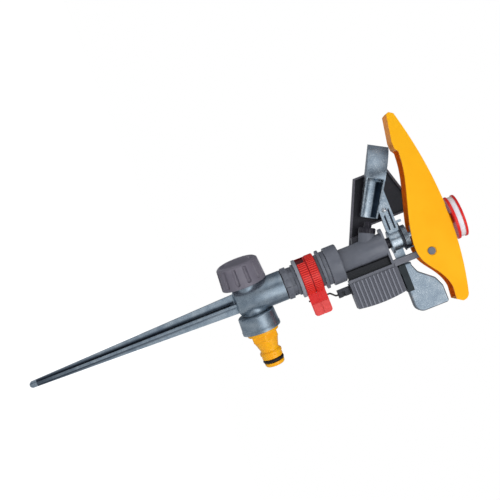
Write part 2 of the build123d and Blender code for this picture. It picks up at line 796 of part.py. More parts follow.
def housing_profile(inset):
    """Side view of the trip housing with its slightly bulging outer end."""
    low = housing_z + inset
    high = housing_top - inset
    outer = -(housing_reach - inset)
    middle = (low + high) / 2
    return Plane.XZ * make_face(
        Polyline((outer, low), (-bar_outer, low), (-bar_outer, high), (outer, high))
        + ThreePointArc((outer, high), (outer - housing_bulge, middle), (outer, low)))


def make_trip_housing():
    """Ribbed cover of the trip gear, open below for the lever and slotted above for the striker."""
    body = slab(housing_profile(0), -housing_far, housing_near)
    body -= slab(housing_profile(WALL), -housing_far + WALL, housing_near - WALL)
    lever_slot = block((-trip_outer - 1.5, -bar_outer - 0.5), (-8.0, 5.0),
                       (housing_z - 1, housing_z + WALL + 1))
    striker_slot = block((-trip_outer - 2.0, -bar_outer - 0.8), (-housing_far + WALL, 6.0),
                         (housing_top - WALL - 1, housing_top + 1))
    body -= lever_slot + striker_slot
    count = int((housing_height - rib_pitch) / rib_pitch)
    for number in range(count):
        height = housing_z + rib_pitch * (number + 1)
        rib = block((-housing_reach - housing_bulge, -bar_outer), (-1, 1), (height - rib_width / 2,
                                                                           height + rib_width / 2))
        rib = rib & slab(housing_profile(0.2), -2, 2)
        body += Pos(0, housing_near + rib_height - 1.0, 0) * rib
    for y, z in ((0, trip_z), (striker_near, striker_z)):
        boss = rod_x(trip_pin_radius + 1.5, -housing_reach - 1.0, -housing_reach + 4.5, y, z)
        boss -= rod_x(trip_pin_radius, -housing_reach + WALL, -bar_outer, y, z)
        body += boss & slab(housing_profile(0.1), -housing_far, housing_near)
    return body


def make_trip_pin(y, z):
    """Radial pin from the bar into the outer wall of the trip housing."""
    return rod_x(trip_pin_radius, -housing_reach + WALL, -bar_inner, y, z)


def make_trip_lever():
    """Rocker that carries the trip wire below the housing and a finger inside it."""
    foot_z = trip_z - trip_drop
    foot = block((-trip_outer, -trip_inner), (-trip_half_width, trip_half_width),
                 (foot_z, foot_z + trip_head_height))
    foot = fillet(foot.edges().filter_by(Axis.X), 0.8)
    neck = block((-trip_outer + 1.0, -trip_inner), (-2.2, 2.2), (foot_z + trip_head_height - 1, trip_z))
    finger = block((-trip_outer + 1.0, -trip_inner), (-finger_half, finger_half),
                   (trip_z, trip_z + finger_height))
    eye = rod_x(3.4, -trip_outer + 1.0, -trip_inner, 0, trip_z)
    lever = foot + neck + finger + eye - rod_x(trip_pin_radius + RUN, -30, -19, 0, trip_z)
    slot = block((-trip_outer - 1, -trip_inner - 2.0), (wire_radius, trip_half_width + 1),
                 (foot_z + 3.2, foot_z + 5.4))
    return lever - slot - make_trip_wire()


def make_trip_wire():
    """Bent wire that hangs between the tabs of the sector rings."""
    foot_z = trip_z - trip_drop
    low = foot_z - (wire_length - 11.0)
    path = FilletPolyline((-23.4, 0, foot_z + 6.0), (-23.4, 0, foot_z - 1.8), (-wire_offset, 0, foot_z - 5.6),
                          (-wire_offset, 0, low), radius=1.6)
    return sweep(Plane(origin=path @ 0, z_dir=path % 0) * Circle(wire_radius), path=path)


def make_striker():
    """Stop that stands up into the path of the arm when the gear is tripped."""
    inner, outer = trip_inner + 0.4, trip_outer
    blade = block((-outer, -inner), (-striker_thickness / 2, striker_thickness / 2),
                  (-striker_tail, striker_length))
    blade += rod_x(3.0, -outer, -inner, 0, 0)
    blade -= rod_x(trip_pin_radius + RUN, -outer - 1, -inner + 1, 0, 0)
    return Pos(0, striker_near, striker_z) * (Rot(striker_throw, 0, 0) * blade)


def make_trip_spring():
    """Over-centre wire between the lever's finger and the striker's tail."""
    x = -(trip_inner + trip_outer) / 2
    lean = math.radians(striker_throw)
    reach = striker_tail + 0.4
    start = (x, finger_half + 0.6, trip_z + finger_height - 1.4)
    tail = (x, striker_near + reach * math.sin(lean), striker_z - reach * math.cos(lean) - 0.6)
    middle = (x, (start[1] + tail[1]) / 2 + 0.4, (start[2] + tail[2]) / 2 - 1.6)
    path = Spline(start, middle, tail)
    return sweep(Plane(origin=path @ 0, z_dir=path % 0) * Circle(0.4), path=path)


# Hood and knob

def hood_outline(inset):
    """Side view of the hood: a long crowned fin with a nose block; the inset one opens downwards."""
    drop = hood_top - 0.8
    base = plate_top + drop
    crown = [(93.7, -11.2), (58.9, -3.8), (15.6, 0.3), (-30.0, -2.1), (-57.7, -7.6)]
    crown = [(x, base + dz - inset) for x, dz in crown]
    crown[0] = (crown[0][0] - inset, crown[0][1])
    crown[-1] = (crown[-1][0] + inset, crown[-1][1])
    low = [(-50.0, -17.5), (-34.5, -23.6), (-20.5, -32.6), (0.9, -32.9), (34.6, -23.9), (60.0, -18.9)]
    low = [(x, base + dz) for x, dz in low]
    tail = (-62.6 + inset, base - 14.2)
    nose_low = (67.6, base - 20.6)
    nose_end = (94.6, base - 17.0)
    line = Spline(*crown)
    line += ThreePointArc(crown[-1], (-62.0 + inset, base - 10.6 - inset), tail)
    line += Polyline(tail, (-59.8 + inset, base - 18.4), low[0])
    line += Spline(*low)
    line += Polyline(low[-1], (64.5, base - 18.6), nose_low, (73.1, base - 20.9), nose_end,
                     (96.0 - inset, base - 14.6), crown[0])
    return Plane.XZ * make_face(line)


def make_top_hood():
    """Hollow hood over the arm with a solid nose that breaks up the jet, and the knob's boss."""
    body = slab(hood_outline(0), -hood_half_width, hood_half_width)
    inner_half = hood_half_width - hood_wall
    cavity = slab(hood_outline(hood_wall), -inner_half, inner_half)
    cavity += Pos(0, 0, -5.0) * cavity
    cavity -= block((nose_start, 2 * nose_start), (-20, 20), (hood_z - hood_top, hood_z + hood_top))
    body -= cavity
    crown = disc(knob_radius + 0.6, hood_z, hood_z + 10)
    boss = disc(knob_boss_radius, hood_z - hood_wall - knob_boss, hood_z + knob_lift)
    body = body - crown + boss
    body -= disc(knob_spindle_radius + RUN, hood_z - 40, hood_z + 10)
    for side in (-hood_half_width, hood_half_width):
        body -= rod_y(hinge_pin_radius + pin_recess, side - pin_recess, side + pin_recess, hinge_x, hinge_z)
    return body - rod_y(hinge_pin_radius + RUN, -20, 20, hinge_x, hinge_z)


def knob_base_z():
    """Height of the underside of the knob."""
    return hood_z + knob_lift + GAP


def make_knob_base():
    """Lower red disc of the knob."""
    low = knob_base_z()
    return tube(knob_radius, knob_spindle_radius, low, low + knob_disc)


def make_knob_band():
    """Pale ring between the two discs of the knob."""
    low = knob_base_z() + knob_disc
    return tube(knob_band_radius, knob_spindle_radius, low, low + knob_band)


def make_knob_cap():
    """Upper red disc of the knob with a shallow dish."""
    low = knob_base_z() + knob_disc + knob_band
    cap = disc(knob_radius - 0.2, low, low + knob_rim)
    cap = fillet(cap.edges().group_by(Axis.Z)[-1], 0.8)
    return cap - disc(knob_radius - 4.0, low + knob_rim - 0.9, low + knob_rim)


def make_knob_spindle():
    """Spindle of the knob with a slanted cam at its foot that lifts the hood."""
    bottom = bridge_z + bridge_height + 1.2 + GAP
    lift = (abs(hinge_x) - follower_offset) * math.sin(math.radians(hood_tilt))
    slant = math.degrees(math.atan(lift / (2 * follower_offset)))
    top = knob_base_z() + knob_disc + knob_band
    cam = disc(cam_radius, bottom - 3.0, bottom + 4.0)
    below = Pos(-follower_offset, 0, bottom) * Rot(0, slant, 0) * Pos(0, 0, -10) * Box(60, 60, 20)
    return cam - below + disc(knob_spindle_radius, bottom + 3.0, top)


def make_knob_clip():
    """Spring clip that keeps the spindle in the hood."""
    top = hood_z - hood_wall - knob_boss - 0.1
    ring = tube(knob_spindle_radius + 2.2, knob_spindle_radius, top - clip_thickness, top)
    return ring - block((0, 10), (-1.6, 1.6), (top - 5, top + 5))


ring_pieces = {
    "sector_ring_lower": make_sector_ring(ring_low_z, False),
    "sector_ring_upper": make_sector_ring(ring_high_z, True),
}

pieces = {
    "spike_casting": make_spike_casting(),
    "blanking_cap": make_blanking_cap(),
    "cap_gasket": make_cap_gasket(),
    "hose_adaptor": make_hose_adaptor(),
    "adaptor_o_ring": make_adaptor_o_ring(),
    "adaptor_washer": make_adaptor_washer(),
    "nipple_seal": make_nipple_seal(),
    "bearing_nipple": make_bearing_nipple(),
    "ring_sleeve": make_ring_sleeve(),
    "ring_retainer": make_ring_retainer(),
    "bearing_spindle": make_bearing_spindle(),
    "bearing_washer": make_bearing_washer(),
    "bearing_spring": make_bearing_spring(),
    "sand_guard": make_sand_guard(),
    "swivel_nut": make_swivel_nut(),
    "head_body": make_head_body(),
    "nozzle_cap": make_nozzle_cap(),
    "jet_nozzle": make_jet_nozzle(),
    "nozzle_seal": make_nozzle_seal(),
    "splash_shield": make_splash_shield(),
    "bridge_frame": make_bridge_frame(),
    "fulcrum_pin": make_fulcrum_pin(),
    "fulcrum_bush": make_fulcrum_bush(),
    "hood_hinge_pin": make_hinge_pin(),
    "impact_arm": make_impact_arm(),
    "arm_sleeve": make_arm_sleeve(),
    "arm_bumper": bumper_solid(),
    "spring_seat": make_spring_seat(),
    "arm_spring": make_arm_spring(),
    "trip_housing": make_trip_housing(),
    "trip_lever_pin": make_trip_pin(0, trip_z),
    "striker_pin": make_trip_pin(striker_near, striker_z),
    "trip_lever": make_trip_lever(),
    "trip_wire": make_trip_wire(),
    "striker": make_striker(),
    "trip_spring": make_trip_spring(),
    "top_hood": make_top_hood(),
    "knob_base": make_knob_base(),
    "knob_band": make_knob_band(),
    "knob_cap": make_knob_cap(),
    "knob_spindle": make_knob_spindle(),
    "knob_clip": make_knob_clip(),
}
pieces.update(ring_pieces)

os.makedirs("parts", exist_ok=True)
for name, solid in pieces.items():
    export_step(solid, f"parts/{name}.step")
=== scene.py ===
import json
import math

import bmesh
import bpy
import numpy as np
from mathutils import Matrix, Vector

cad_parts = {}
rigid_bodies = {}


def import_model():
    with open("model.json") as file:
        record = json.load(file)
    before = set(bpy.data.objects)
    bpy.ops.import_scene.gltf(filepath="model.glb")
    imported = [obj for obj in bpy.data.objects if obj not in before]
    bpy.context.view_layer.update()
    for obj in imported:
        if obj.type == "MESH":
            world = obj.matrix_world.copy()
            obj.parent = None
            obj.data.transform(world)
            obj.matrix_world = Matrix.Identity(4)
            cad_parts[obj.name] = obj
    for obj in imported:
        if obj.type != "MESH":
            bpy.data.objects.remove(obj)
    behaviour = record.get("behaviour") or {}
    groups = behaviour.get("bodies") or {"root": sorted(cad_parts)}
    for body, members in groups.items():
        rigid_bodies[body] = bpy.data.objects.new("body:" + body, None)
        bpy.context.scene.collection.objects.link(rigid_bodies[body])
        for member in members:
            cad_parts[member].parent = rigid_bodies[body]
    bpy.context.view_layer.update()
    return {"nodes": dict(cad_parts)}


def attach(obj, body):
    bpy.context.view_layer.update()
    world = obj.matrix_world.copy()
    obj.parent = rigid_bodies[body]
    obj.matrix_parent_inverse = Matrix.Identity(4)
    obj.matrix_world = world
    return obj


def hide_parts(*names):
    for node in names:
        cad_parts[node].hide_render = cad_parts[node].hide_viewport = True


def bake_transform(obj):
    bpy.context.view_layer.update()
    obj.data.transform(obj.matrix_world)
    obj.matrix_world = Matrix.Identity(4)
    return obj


# Impulse sprinkler on a ground spike. Z runs up the riser, +X is the nozzle's side, +Y the side that
# the arm's trough opens to. Lengths are millimetres in the code and metres in Blender.
MM = 0.001

for leftover in list(bpy.data.objects):
    bpy.data.objects.remove(leftover)
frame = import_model()
nodes = frame["nodes"]
scene = bpy.context.scene
scene.view_settings.view_transform = "Standard"

# Camera of the photograph: level with the middle of the riser, rolled so that the spike points down left
CAMERA_AT = Vector((43.6, 1030.0, 182.6)) * MM
CAMERA_RIGHT = Vector((-0.36833, 0.01905, 0.92950))
CAMERA_UP = Vector((0.92966, -0.00102, 0.36842))
CAMERA_LENS = 93.87
SENSOR = 36.0
OBJECT_MIDDLE = Vector((18.0, 0.0, 200.0)) * MM


def linear(colour):
    """An sRGB hex colour as linear red, green, blue and alpha."""
    parts = [int(colour[i:i + 2], 16) / 255 for i in (1, 3, 5)]
    return [p / 12.92 if p <= 0.04045 else ((p + 0.055) / 1.055) ** 2.4 for p in parts] + [1.0]


def live_socket(sockets, name):
    """The socket of that number or name that the node's settings leave in use."""
    if isinstance(name, int):
        return sockets[name]
    return next(socket for socket in sockets if socket.name == name and socket.enabled)


def add(tree, kind, links=None, **settings):
    """Adds one node with its settings; links gives the value or the source of each input."""
    node = tree.nodes.new(kind)
    for key, value in settings.items():
        setattr(node, key, value)
    for name, source in (links or {}).items():
        socket = live_socket(node.inputs, name)
        if isinstance(source, bpy.types.NodeSocket):
            tree.links.new(source, socket)
        else:
            socket.default_value = source
    return node


def blank_material(name):
    """A new material with an empty node tree."""
    made = bpy.data.materials.new(name)
    made.use_nodes = True
    made.node_tree.nodes.clear()
    return made, made.node_tree


def finish_material(tree, links):
    """Ends a node tree in one Principled shader."""
    shader = add(tree, "ShaderNodeBsdfPrincipled", links)
    add(tree, "ShaderNodeOutputMaterial", {"Surface": shader.outputs["BSDF"]})
    return shader


def ramp(tree, factor, *stops):
    """Colour ramp with (place, hex colour) stops."""
    node = add(tree, "ShaderNodeValToRGB", {"Fac": factor})
    while len(node.color_ramp.elements) < len(stops):
        node.color_ramp.elements.new(0.5)
    for element, (place, colour) in zip(node.color_ramp.elements, stops):
        element.position = place
        element.color = linear(colour)
    return node.outputs["Color"]


def span(tree, value, low, high, edge=0.12):
    """1 where a value in metres lies between two lengths in millimetres, fading over the edge."""
    rise = add(tree, "ShaderNodeMapRange", {"Value": value, "From Min": (low - edge) * MM,
                                            "From Max": (low + edge) * MM})
    fall = add(tree, "ShaderNodeMapRange", {"Value": value, "From Min": (high + edge) * MM,
                                            "From Max": (high - edge) * MM})
    both = add(tree, "ShaderNodeMath", {0: rise.outputs["Result"], 1: fall.outputs["Result"]},
               operation="MULTIPLY")
    return both.outputs[0]


def zone_mask(tree, place, zone):
    """Product of the spans of a zone, a dict from X, Y, Z or R (distance from the riser) to its limits."""
    axes = add(tree, "ShaderNodeSeparateXYZ", {"Vector": place})
    mask = None
    for axis, limits in zone.items():
        if axis == "R":
            flat = add(tree, "ShaderNodeVectorMath", {0: place, 1: (1.0, 1.0, 0.0)}, operation="MULTIPLY")
            length = add(tree, "ShaderNodeVectorMath", {0: flat.outputs[0]}, operation="LENGTH")
            value = length.outputs["Value"]
        else:
            value = axes.outputs[axis]
        part = span(tree, value, *limits)
        mask = part if mask is None else add(tree, "ShaderNodeMath", {0: mask, 1: part},
                                             operation="MULTIPLY").outputs[0]
    return mask


def zoned(tree, place, colour, zones):
    """A colour that turns into another hex colour inside each (zone, hex colour) given."""
    for zone, tint in zones:
        mix = add(tree, "ShaderNodeMix", {"Factor": zone_mask(tree, place, zone), "A": colour,
                                          "B": linear(tint)}, data_type="RGBA")
        colour = live_socket(mix.outputs, "Result")
    return colour


def moulded_plastic(name, dark, light, roughness, grain=0.5, depth=0.02, cloud=18.0, zones=(), **extra):
    """Injection moulded ABS or nylon: an even colour that clouds a little, with a fine eroded grain."""
    made, tree = blank_material(name)
    place = add(tree, "ShaderNodeTexCoord").outputs["Object"]
    clouds = add(tree, "ShaderNodeTexNoise", {"Vector": place, "Scale": 1 / (cloud * MM), "Detail": 3.0})
    grit = add(tree, "ShaderNodeTexNoise", {"Vector": place, "Scale": 1 / (grain * MM), "Detail": 2.0})
    colour = ramp(tree, clouds.outputs["Fac"], (0.35, dark), (0.65, light))
    colour = zoned(tree, place, colour, zones)
    gloss = add(tree, "ShaderNodeMapRange", {"Value": grit.outputs["Fac"], "From Min": 0.3, "From Max": 0.7,
                                             "To Min": roughness - 0.05, "To Max": roughness + 0.05})
    relief = add(tree, "ShaderNodeBump", {"Height": grit.outputs["Fac"], "Strength": 0.25,
                                          "Distance": depth * MM})
    finish_material(tree, {"Base Color": colour, "Roughness": gloss.outputs["Result"],
                           "Normal": relief.outputs["Normal"], **extra})
    return made


# Half width of the hood, over which its painted shade and bounced orange light come in
SHELL_HALF = 12.0


def shell_plastic(name, dark, light, shade_tint, roughness, specular):
    """Thin moulded shell of one colour, with painted shade and bounced light: deeper and redder on faces
    turned to its middle plane or down.
    """
    made, tree = blank_material(name)
    coordinates = add(tree, "ShaderNodeTexCoord")
    place = add(tree, "ShaderNodeSeparateXYZ", {"Vector": coordinates.outputs["Object"]})
    facing = add(tree, "ShaderNodeSeparateXYZ", {"Vector": coordinates.outputs["Normal"]})
    clouds = add(tree, "ShaderNodeTexNoise", {"Vector": coordinates.outputs["Object"],
                                              "Scale": 1 / (30.0 * MM), "Detail": 3.0})
    grit = add(tree, "ShaderNodeTexNoise", {"Vector": coordinates.outputs["Object"],
                                            "Scale": 1 / (0.4 * MM), "Detail": 2.0})
    sunk = add(tree, "ShaderNodeMath", {0: place.outputs["Y"], 1: -1 / (SHELL_HALF * MM)},
               operation="MULTIPLY")
    inward = add(tree, "ShaderNodeMath", {0: sunk.outputs[0], 1: facing.outputs["Y"]}, operation="MULTIPLY")
    inside = add(tree, "ShaderNodeMapRange", {"Value": inward.outputs[0], "From Min": 0.3, "From Max": 0.7})
    below = add(tree, "ShaderNodeMapRange", {"Value": facing.outputs["Z"], "From Min": -0.35,
                                             "From Max": -0.75, "To Max": 0.55})
    painted_shade = add(tree, "ShaderNodeMath", {0: inside.outputs["Result"], 1: below.outputs["Result"]},
                 operation="MAXIMUM")
    skin = ramp(tree, clouds.outputs["Fac"], (0.35, dark), (0.65, light))
    colour = add(tree, "ShaderNodeMix", {"Factor": painted_shade.outputs[0], "A": skin, "B": linear(shade_tint)},
                 data_type="RGBA")
    gloss = add(tree, "ShaderNodeMapRange", {"Value": grit.outputs["Fac"], "From Min": 0.3, "From Max": 0.7,
                                             "To Min": roughness - 0.05, "To Max": roughness + 0.05})
    relief = add(tree, "ShaderNodeBump", {"Height": grit.outputs["Fac"], "Strength": 0.2,
                                          "Distance": 0.015 * MM})
    finish_material(tree, {"Base Color": live_socket(colour.outputs, "Result"),
                           "Roughness": gloss.outputs["Result"], "Normal": relief.outputs["Normal"],
                           "Specular IOR Level": specular})
    return made


def cast_zinc(name, dark, middle, light, roughness, speck=0.9, depth=0.05, contrast=0.5, zones=()):
    """Tumbled zinc die casting: cool grey metal with small bright and dark specks and soft blotches."""
    made, tree = blank_material(name)
    place = add(tree, "ShaderNodeTexCoord").outputs["Object"]
    specks = add(tree, "ShaderNodeTexNoise", {"Vector": place, "Scale": 1 / (speck * MM), "Detail": 4.0,
                                              "Roughness": 0.65})
    blotches = add(tree, "ShaderNodeTexNoise", {"Vector": place, "Scale": 1 / (7.0 * MM), "Detail": 3.0})
    both = add(tree, "ShaderNodeMix", {"Factor": contrast, "A": blotches.outputs["Fac"],
                                       "B": specks.outputs["Fac"]})
    colour = ramp(tree, both.outputs["Result"], (0.32, dark), (0.5, middle), (0.68, light))
    colour = zoned(tree, place, colour, zones)
    gloss = add(tree, "ShaderNodeMapRange", {"Value": specks.outputs["Fac"], "From Min": 0.3,
                                             "From Max": 0.7, "To Min": roughness - 0.09,
                                             "To Max": roughness + 0.09})
    relief = add(tree, "ShaderNodeBump", {"Height": both.outputs["Result"], "Strength": 0.4,
                                          "Distance": depth * MM})
    finish_material(tree, {"Base Color": colour, "Metallic": 0.9, "Roughness": gloss.outputs["Result"],
                           "Normal": relief.outputs["Normal"]})
    return made


def drawn_steel(name, dark, light, roughness):
    """Drawn steel wire or pin: bright metal with fine lines."""
    made, tree = blank_material(name)
    place = add(tree, "ShaderNodeTexCoord").outputs["Object"]
    lines = add(tree, "ShaderNodeTexNoise", {"Vector": place, "Scale": 1 / (0.6 * MM), "Detail": 3.0})
    colour = ramp(tree, lines.outputs["Fac"], (0.35, dark), (0.65, light))
    finish_material(tree, {"Base Color": colour, "Metallic": 1.0, "Roughness": roughness})
    return made


def rubber(name, dark, light, roughness):
    """Moulded black rubber with a dull bloom."""
    return moulded_plastic(name, dark, light, roughness, grain=0.4, depth=0.03, cloud=6.0)


# Zones of colour, in millimetres. A ring has painted shade, dark in its bore and deep red in its grooves,
# and a painted highlight on its ribs, with a paler grip on its tab. The head's pocket has painted shade, and
# the paddle is duller.
RING_RADIUS = 15.7
GRIP_START = 23.2
BEAM_LOW = 306.2
# Painted shade in each ring's bore and grooves, and a painted highlight on its rib crowns
ring_painted_light_and_grip_zones = [({"R": (0, 14.9)}, "#5a0508"), ({"R": (14.9, 15.4)}, "#c51512"),
              ({"R": (RING_RADIUS - 0.1, 18.0), "X": (-14.9, 20.0)}, "#ee4239"),
              ({"X": (-22.6, -15.0)}, "#dc1d1b"), ({"X": (-40.0, -GRIP_START)}, "#e54b47")]
# Painted shade: the web between the head's tube and the frame's bar is painted near black
head_painted_shade_zones = [({"X": (-16.5, -8.2, 0.8), "Y": (-3.0, 6.4, 0.4), "Z": (263.0, 300.2)}, "#17171b")]
# Painted shade in the grooves between the housing's ribs, and a painted highlight on their crowns
housing_rib_shade_and_highlight_zones = [({"Y": (7.5, 8.12)}, "#55575f"), ({"Y": (8.5, 9.5)}, "#7b7d86")]
# Painted highlight: a lighter grey on the tray's front rims
tray_rim_highlight_zones = [({"Y": (-14.2, -13.0)}, "#66636b")]
# Painted shade, near black, in the grooves of the arm's beam, then the duller paddle
arm_groove_shade_and_paddle_zones = [({"X": (9.0, 44.0), "Y": (1.9, 3.35), "Z": (BEAM_LOW + 1.9, BEAM_LOW + 8.0)}, "#1d2733"),
             ({"X": (-62.0, -26.0), "Y": (-5.5, 5.5, 0.2)}, "#36424e")]
# Painted shade in the inner corners between the spike's fins
spike_corner_shade_zones = [({"R": (0.0, 3.3, 0.9), "Z": (6.0, 173.0)}, "#424b58")]

finishes = {
    "cast_zinc": cast_zinc("cast_zinc", "#8b9aa8", "#a6b4bf", "#bec9d1", 0.32, 0.9, 0.012, 0.3, spike_corner_shade_zones),
    "plated_zinc": cast_zinc("plated_zinc", "#93a3b2", "#b5c2cc", "#e3eaef", 0.2, 1.0, 0.008, 0.62,
                             arm_groove_shade_and_paddle_zones),
    # Dark zinc whose darkness is painted shade, for the deep side of the spoon's trough
    "shade_painted_zinc": cast_zinc("shade_painted_zinc", "#2c3743", "#3f4b58", "#566472", 0.35, 1.0, 0.008, 0.5),
    "grey_nylon": moulded_plastic("grey_nylon", "#64676f", "#6e7179", 0.22, zones=head_painted_shade_zones),
    "cap_nylon": moulded_plastic("cap_nylon", "#6b6771", "#75717a", 0.34, 0.45, 0.02),
    "frame_nylon": moulded_plastic("frame_nylon", "#65676f", "#707279", 0.32),
    "housing_nylon": moulded_plastic("housing_nylon", "#65676f", "#6e7078", 0.36, zones=housing_rib_shade_and_highlight_zones),
    "pale_nylon": moulded_plastic("pale_nylon", "#85888f", "#92959c", 0.34),
    # Grey nylon painted near black as the shade of the splash tray's recessed face
    "shade_darkened_nylon": moulded_plastic("shade_darkened_nylon", "#1f1c24", "#29262e", 0.3, zones=tray_rim_highlight_zones),
    "black_nylon": moulded_plastic("black_nylon", "#2b2c31", "#37383e", 0.34),
    # The hood's orange on its inner and lower faces is painted shade and bounced light
    "yellow_abs": shell_plastic("yellow_abs", "#ffb000", "#ffb90f", "#ff7c00", 0.42, 0.25),
    "yellow_acetal": moulded_plastic("yellow_acetal", "#ffac00", "#ffb808", 0.14, 0.4, 0.002, 10.0),
    "red_abs": moulded_plastic("red_abs", "#dc1c18", "#e8281f", 0.28, 0.5, 0.012, 8.0),
    "ring_red": moulded_plastic("ring_red", "#d81a17", "#e4261e", 0.3, 0.5, 0.012, 8.0, ring_painted_light_and_grip_zones),
    "silver_abs": moulded_plastic("silver_abs", "#e2e4ea", "#f0f2f5", 0.28),
    "white_acetal": moulded_plastic("white_acetal", "#dfe0e0", "#ecedec", 0.35),
    "rubber": rubber("rubber", "#130f11", "#1e1a1b", 0.45),
    "bumper_rubber": rubber("bumper_rubber", "#1e2629", "#293135", 0.5),
    "spring_steel": drawn_steel("spring_steel", "#9aa4ad", "#d4dbe0", 0.2),
    "bright_steel": drawn_steel("bright_steel", "#e4e8eb", "#f6f8f9", 0.12),
    "dark_wire": drawn_steel("dark_wire", "#4a4642", "#6a655f", 0.34),
}

slot_finish = {
    "zinc": "cast_zinc",
    "grey_plastic": "grey_nylon",
    "pale_plastic": "pale_nylon",
    "dark_plastic": "shade_darkened_nylon",
    "black_plastic": "black_nylon",
    "yellow_plastic": "yellow_abs",
    "red_plastic": "red_abs",
    "silver_plastic": "silver_abs",
    "white_acetal": "white_acetal",
    "black_rubber": "rubber",
    "spring_steel": "spring_steel",
}
own_finish = {
    "impact_arm": "plated_zinc",
    "bridge_frame": "frame_nylon",
    "trip_housing": "housing_nylon",
    "sector_ring_lower": "ring_red",
    "sector_ring_upper": "ring_red",
    "arm_bumper": "bumper_rubber",
    "trip_wire": "dark_wire",
    "trip_spring": "dark_wire",
}
# Width in millimetres of the rounded edge of each carried-over piece; none on the rest
edge_width = {
    "spike_casting": 0.35, "impact_arm": 0.3, "top_hood": 0.6, "splash_shield": 0.3, "bridge_frame": 0.35,
    "trip_housing": 0.25, "head_body": 0.25, "swivel_nut": 0.3, "bearing_nipple": 0.25,
    "ring_retainer": 0.35, "ring_sleeve": 0.3, "sector_ring_lower": 0.08, "sector_ring_upper": 0.08,
    "trip_lever": 0.25, "knob_base": 0.35, "knob_band": 0.15, "knob_cap": 0.2,
    "arm_bumper": 0.3, "hood_hinge_pin": 0.3, "nozzle_cap": 0.2, "sand_guard": 0.3,
}


def dress(node, thing):
    """Gives a carried-over piece its finish and its rounded edges."""
    slot = thing.material_slots[0].material.name.split(".")[0]
    thing.material_slots[0].material = finishes[own_finish.get(node, slot_finish[slot])]
    if node in edge_width:
        weld = thing.modifiers.new("merge", "WELD")
        weld.merge_threshold = 0.002 * MM
        bevel = thing.modifiers.new("edges", "BEVEL")
        bevel.width = edge_width[node] * MM
        bevel.segments = 2
        bevel.limit_method = "ANGLE"
        bevel.angle_limit = math.radians(32)
        bevel.harden_normals = False


for node, thing in nodes.items():
    dress(node, thing)


def make_camera():
    """Camera at the photograph's angle and distance."""
    data = bpy.data.cameras.new("photo_camera")
    data.sensor_width = SENSOR
    data.lens = CAMERA_LENS
    data.clip_start = 0.01
    data.clip_end = 20.0
    thing = bpy.data.objects.new("photo_camera", data)
    right = CAMERA_RIGHT.normalized()
    back = right.cross(CAMERA_UP).normalized()
    up = back.cross(right)
    turn = Matrix((right, up, back)).transposed().to_4x4()
    thing.matrix_world = Matrix.Translation(CAMERA_AT) @ turn
    scene.collection.objects.link(thing)
    scene.camera = thing


def make_lamp(name, place, size, strength):
    """White square soft box at a place in millimetres, turned to the object; the world gives its gloss."""
    data = bpy.data.lights.new(name, "AREA")
    data.shape = "SQUARE"
    data.size = size * MM
    data.energy = strength
    thing = bpy.data.objects.new(name, data)
    thing.location = Vector(place) * MM
    thing.rotation_euler = (thing.location - OBJECT_MIDDLE).to_track_quat("Z", "Y").to_euler()
    thing.visible_glossy = False
    scene.collection.objects.link(thing)


def studio_band(tree, value, *stops):
    """Brightness of the studio along one axis, with (direction from -1 to 1, hex colour) stops."""
    place = add(tree, "ShaderNodeMapRange", {"Value": value, "From Min": -1.0, "From Max": 1.0})
    return ramp(tree, place.outputs["Result"], *[((where + 1) / 2, colour) for where, colour in stops])


def make_world():
    """White studio. Gloss mirrors strip lights beside the camera, a grey middle, dark above and below."""
    world = bpy.data.worlds.new("studio")
    world.use_nodes = True
    scene.world = world
    tree = world.node_tree
    tree.nodes.clear()
    path = add(tree, "ShaderNodeLightPath")
    direction = add(tree, "ShaderNodeTexCoord").outputs["Generated"]
    split = add(tree, "ShaderNodeSeparateXYZ", {"Vector": direction})
    across = studio_band(tree, split.outputs["X"], (-1.0, "#96999e"), (-0.88, "#84878c"), (-0.64, "#ffffff"),
                         (-0.2, "#e0e3e6"), (0.02, "#c6cace"), (0.14, "#a0a4a9"), (0.3, "#4c5056"),
                         (0.46, "#8d9196"), (0.7, "#c2c5c9"), (1.0, "#7c8085"))
    along = studio_band(tree, split.outputs["Z"], (-1.0, "#6d7075"), (-0.45, "#8f9297"), (-0.05, "#bfc2c6"),
                        (0.2, "#d6d9dc"), (0.5, "#ffffff"), (0.75, "#9da0a5"), (1.0, "#4c4f54"))
    depth = studio_band(tree, split.outputs["Y"], (-1.0, "#8d9196"), (-0.3, "#8d9196"), (0.1, "#ffffff"),
                        (1.0, "#ffffff"))
    level = add(tree, "ShaderNodeMix", {"Factor": 1.0, "A": across, "B": along}, data_type="RGBA",
                blend_type="MULTIPLY")
    level = add(tree, "ShaderNodeMix", {"Factor": 1.0, "A": live_socket(level.outputs, "Result"),
                                        "B": depth}, data_type="RGBA", blend_type="MULTIPLY")
    seen = add(tree, "ShaderNodeMath", {0: path.outputs["Is Camera Ray"],
                                        1: path.outputs["Is Transmission Ray"]}, operation="MAXIMUM")
    even = add(tree, "ShaderNodeBackground", {"Color": linear("#f4f6ff"), "Strength": 0.40})
    mirror = add(tree, "ShaderNodeBackground", {"Color": live_socket(level.outputs, "Result"),
                                                "Strength": 1.7})
    white = add(tree, "ShaderNodeBackground", {"Color": linear("#ffffff"), "Strength": 1.0})
    glossy = add(tree, "ShaderNodeMixShader", {0: path.outputs["Is Glossy Ray"], 1: even.outputs[0],
                                               2: mirror.outputs[0]})
    both = add(tree, "ShaderNodeMixShader", {0: seen.outputs[0], 1: glossy.outputs[0], 2: white.outputs[0]})
    add(tree, "ShaderNodeOutputWorld", {"Surface": both.outputs[0]})


